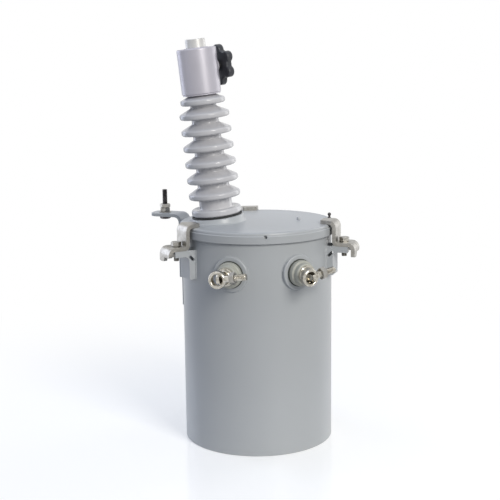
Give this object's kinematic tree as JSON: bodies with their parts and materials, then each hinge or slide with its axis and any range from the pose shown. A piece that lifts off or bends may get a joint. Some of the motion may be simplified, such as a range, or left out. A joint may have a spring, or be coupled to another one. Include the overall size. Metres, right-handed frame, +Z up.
{
  "type": "pole-type distribution transformer, single phase",
  "caption": "Small single-phase pole-type distribution transformer: grey tank, clamped cover, one ribbed high-voltage bushing and two low-voltage bushings.",
  "frame": {"origin": "centre of the tank's floor, on its underside", "axes": "+Z up along the tank, -Y towards the low-voltage bushings, -X towards the high-voltage bushing"},
  "size_m": [0.3653, 0.3811, 0.7237],
  "materials": {
    "tank_paint": "satin",
    "porcelain": "gloss",
    "housing_metal": "matte",
    "knob_plastic": "matte",
    "gasket_rubber": "matte",
    "lv_epoxy": "satin",
    "tinned_brass": "polished",
    "galvanised_steel": "satin",
    "dark_steel": "satin"
  },
  "bodies": {
    "root": {"tank_shell": "tank_paint", "tank_floor": "tank_paint", "cover": "tank_paint", "cover_screws": "galvanised_steel", "bushing_gasket": "gasket_rubber", "hv_bushing": "porcelain", "terminal_housing": "housing_metal", "housing_plug": "housing_metal", "knob_stem": "tinned_brass", "star_knob": "knob_plastic", "arrester_bracket": "tank_paint", "arrester_bracket_pads": "tank_paint", "arrester_bolt": "dark_steel", "arrester_nuts": "galvanised_steel", "upper_hanger": "tank_paint", "lower_hanger": "tank_paint", "ground_boss": "tank_paint", "ground_bolt": "galvanised_steel", "lv_gasket_left": "gasket_rubber", "lv_insulator_left": "lv_epoxy", "lv_terminal_left": "tinned_brass", "lv_eyebolt_left": "tinned_brass", "lv_eyebolt_nut_left": "galvanised_steel", "lv_gasket_right": "gasket_rubber", "lv_insulator_right": "lv_epoxy", "lv_terminal_right": "tinned_brass", "lv_eyebolt_right": "tinned_brass", "lv_eyebolt_nut_right": "galvanised_steel", "clamp_lug_left": "tank_paint", "clamp_strap_left": "galvanised_steel", "clamp_bolt_left": "galvanised_steel", "clamp_nut_left": "galvanised_steel", "clamp_lug_right": "tank_paint", "clamp_strap_right": "galvanised_steel", "clamp_bolt_right": "galvanised_steel", "clamp_nut_right": "galvanised_steel", "clamp_lug_back": "tank_paint", "clamp_strap_back": "galvanised_steel", "clamp_bolt_back": "galvanised_steel", "clamp_nut_back": "galvanised_steel"}
  },
  "joints": []
}
